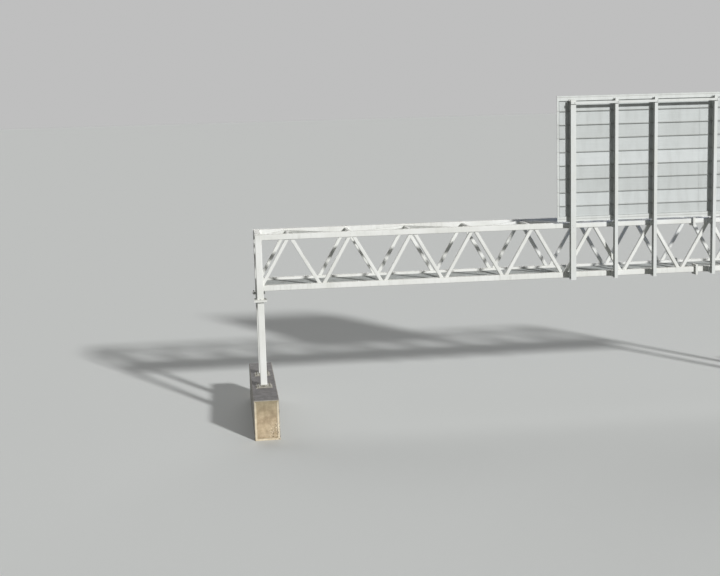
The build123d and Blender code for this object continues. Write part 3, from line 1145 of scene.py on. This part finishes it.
# %% Paint the brackets and bolt them
chord_bolt_reach = 0.13
bolt_rise = 0.085
bracket_plate = 0.025
web_clearance = 0.004
for number, (post_low, post_high) in post_boxes.items():
    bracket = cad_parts[f"post_brackets_{number}"]
    bracket.data.materials.clear()
    bracket.data.materials.append(post_paint)
    low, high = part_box(f"post_brackets_{number}")
    centre_x = (low.x + high.x) / 2
    post_bolt_reach = (post_high.x - post_low.x) / 4 + web_clearance
    spots = [(centre_x + a * reach, face_y, z + b * bolt_rise)
             for reach, face_y in ((chord_bolt_reach, high.y - bracket_plate),
                                   (post_bolt_reach, post_high.y - flange_plate))
             for z in chord_levels.values() for a in (-1, 1) for b in (-1, 1)]
    bolts = bolt_up(f"post_bracket_bolts_{number}", plate_bolt, spots, face_near)
    finish_piece(bolts, bolt_zinc, "floor_grating")
print("brackets bolted")

# %% [markdown]
# ## Planks
# An extruded plank is a shallow tray: a thin sheet at the sign's front with a lip 60 mm deep along
# each edge, turned back towards the posts. Low sun throws the shadow of each lip on the sheet
# below, and these are the dark lines across the back of the sign. The tray starts as its sheet. The
# sheet's back is inset a little and extruded to the lips' depth, so that a slot is left between
# neighbours, in which the clips' bolts slide. That block is then inset by the lips' thickness and
# pushed in. A narrow upright strip covers the butt joint between two lengths of plank.

# %% Extrude the planks
lip_thickness = 0.007
lip_round = 0.0015
sheet_thickness = 0.004
slot_half = 0.005
strip_x = 6.27
strip_half = 0.035
strip_thickness = 0.006
inner_rim = slot_half + lip_thickness
joint_heights = []
plank_count = 9
plank_names = [f"sign_plank_{number + 1}" for number in range(plank_count)]


def push_back_face(block, rim, depth):
    """Inset the face nearest the posts and push it along Y: out to raise a block, in to sink a tray."""
    select(block)
    outer_y = min(corner.co.y for corner in block.data.vertices)
    push_faces(rim, (0, depth, 0),
               lambda middle, normal: normal.y < -along_axis and middle.y < outer_y + same_place)
    return block


for node in plank_names:
    low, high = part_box(node)
    sheet_back = high.y - sheet_thickness
    lip_depth = sheet_back - low.y
    tray = add_block(f"{node}_extruded", (low.x, sheet_back, low.z), high)
    push_back_face(tray, slot_half, -lip_depth)
    push_back_face(tray, lip_thickness, lip_depth)
    bevel_edges(lip_round, 2, lambda middle, run: abs(run.x) > along_axis and middle.y < low.y + same_place)
    strip = add_block("joint_strip", (strip_x - strip_half, sheet_back - strip_thickness, low.z + inner_rim),
                      (strip_x + strip_half, sheet_back, high.z - inner_rim))
    soften(strip, lip_round, segments=1)
    finish_piece(join(f"{node}_extruded", [tray, strip]), plank_metal, "sign_back", node)
    joint_heights.append(low.z)
joint_heights.append(high.z)
print(plank_count, "planks, joints at", [round(z, 2) for z in joint_heights])

# %% [markdown]
# ## Trims round the panel
# Folded strips close the panel's four edges. They are shallower trays than the planks, so they read
# as plain bands with a fine rim.

# %% Fold the trims
trim_rim = 0.006
trim_depth = 0.012
trim_round = 0.002
for edge in ("bottom", "top", "left", "right"):
    low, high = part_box(f"sign_trim_{edge}")
    trim = push_back_face(add_block(f"sign_trim_{edge}_folded", low, high), trim_rim, trim_depth)
    bevel_edges(trim_round, 2, lambda middle, run: middle.y < low.y + same_place)
    finish_piece(trim, trim_metal, "sign_back", f"sign_trim_{edge}")
print("trims folded")

# %% [markdown]
# ## Clips
# Aluminium clips hold the planks to the posts' back flanges, one on each side at every joint, each
# with its own small bolt. A clip is a block with softened edges, stepped where it reaches over the
# flange.

# %% Clip the planks to the posts
clip_width = 0.05
clip_height = 0.06
clip_grip = 0.014
clip_depth = 0.028
clip_round = 0.002
foot_gap = 0.001
foot_overlap = 0.001
plank_gap = 0.0005
first_joint = joint_heights[0]


def add_clip_block(ends, low_y, high_y):
    """One softened block of a clip at the lowest joint, between two ends along X."""
    low = (min(ends), low_y, first_joint - clip_height / 2)
    high = (max(ends), high_y, first_joint + clip_height / 2)
    return soften(add_block("clip_block", low, high), clip_round, segments=1)


for number, (post_low, post_high) in post_boxes.items():
    back = post_high.y
    clips = []
    clip_places = []
    for side, edge_x in ((-1, post_low.x), (1, post_high.x)):
        inner = edge_x - side * clip_grip
        outer = inner + side * clip_width
        grip = add_clip_block((inner, outer), back - clip_depth, back - flange_plate)
        foot = add_clip_block((edge_x + side * foot_gap, outer),
                              back - flange_plate - foot_overlap, back - plank_gap)
        clip = join("clip", [grip, foot])
        for joint_height in joint_heights:
            clips.append(copy_to(clip, "clip_copy", (0, 0, joint_height - first_joint)))
            clip_places.append(((edge_x + outer) / 2, back - clip_depth, joint_height))
        delete(clip)
    bolts = bolt_up("clip_bolts", clip_bolt, clip_places, face_near)
    finish_piece(join(f"plank_clips_{number}", [*clips, bolts]), bolt_zinc, "floor_grating")
print(f"{len(clips)} clips on each post")

# %% [markdown]
# ## Sign face
# The front is a flat sheet of blue sheeting with a white border set in from the edge, its corners
# rounded. The border is cut into the mesh: the front face is inset, the corners of the inner face
# are bevelled as corners, and a second inset makes the border's width.

# %% Cover the face
border_inset = 0.06
border_width = 0.09
border_corner = 0.16
corner_segments = 8
border_slack = 0.02
middle_reach = 0.5
sheet_low, sheet_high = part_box("sign_face")
sheet_middle = (sheet_low + sheet_high) / 2


def rim_distance(spot):
    """How far a place on the front is from the nearest edge of the sheet."""
    return min(spot.x - sheet_low.x, sheet_high.x - spot.x, spot.z - sheet_low.z, sheet_high.z - spot.z)


sheet = add_block("sign_face_sheeting", sheet_low, sheet_high)
pick("FACE", lambda middle, normal: normal.y > along_axis)
bpy.ops.mesh.inset(thickness=border_inset)
pick("VERT", lambda spot, normal: spot.y > sheet_high.y - same_place
     and rim_distance(spot) > border_inset / 2)
bpy.ops.mesh.bevel(offset=border_corner, segments=corner_segments, affect="VERTICES")
pick("FACE", lambda middle, normal: normal.y > along_axis and (middle - sheet_middle).length < middle_reach)
bpy.ops.mesh.inset(thickness=border_width)
leave_edit()
sheet.data.materials.append(blue_sheeting)
sheet.data.materials.append(white_sheeting)
border_end = border_inset + border_width + border_slack
for face in sheet.data.polygons:
    if face.normal.y > along_axis and border_inset < rim_distance(face.center) < border_end:
        face.material_index = 1
finish_piece(sheet, None, "sign_front", "sign_face")
print("border faces:", sum(face.material_index for face in sheet.data.polygons))

# %% [markdown]
# ## Rail across the posts
# A channel runs across the fronts of the posts just under their tops, its flat web outwards. It is
# a block whose inner side is hollowed, with one bolt at each post.

# %% Fix the rail
rail_wall = 0.007
rail_radius = 0.006
rail_bolt_shift = 0.045
low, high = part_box("sign_rail")
rail = add_block("sign_rail_channel", low, high)
push_faces(rail_wall, (0, -(high.y - low.y - rail_wall), 0), lambda middle, normal: normal.y > along_axis)
bevel_edges(rail_radius, 3, lambda middle, run: middle.y < low.y + same_place)
finish_piece(rail, post_paint, "post_steel", "sign_rail")
rail_spots = [((post_low.x + post_high.x) / 2 + rail_bolt_shift, low.y, (low.z + high.z) / 2)
              for post_low, post_high in post_boxes.values()]
finish_piece(bolt_up("sign_rail_bolts", plate_bolt, rail_spots, face_near), bolt_zinc, "floor_grating")
print("rail bolted at", len(rail_spots), "posts")

# %% Put the pattern fasteners away
delete(anchor_nut, joint_bolt, plate_bolt, clip_bolt)
print(f"{piece_count} pieces, {triangle_count} triangles")

# %% [markdown]
# ## Floor
# The gantry stands on a plain pale floor that runs out to the horizon. It is only a stage: it
# catches the shadow, and isn't part of the object. It has no gloss, so that it stays even as far as
# the horizon and meets the backdrop there in the same grey. Seen by the camera or mirrored it is
# pale. The light that it throws back up is that of a darker ground, so that undersides and shaded
# sides stay as deep as they are outdoors.

# %% Lay the floor
floor_size = 6000
floor_z = -0.002
deselect()
bpy.ops.mesh.primitive_plane_add(size=floor_size, location=(0, 0, floor_z))
floor = bpy.context.object
floor.name = "studio_floor"
finish, tree, shader, _ = new_finish("plain_pale_floor")
tone = lay_over(tree, "8A8C8A", "E0E2E0", seen_rays(tree))
set_sockets(tree, shader, {"Base Color": tone, "Roughness": 1.0, "Specular IOR Level": 0.0})
floor.data.materials.append(finish)
print("floor laid")
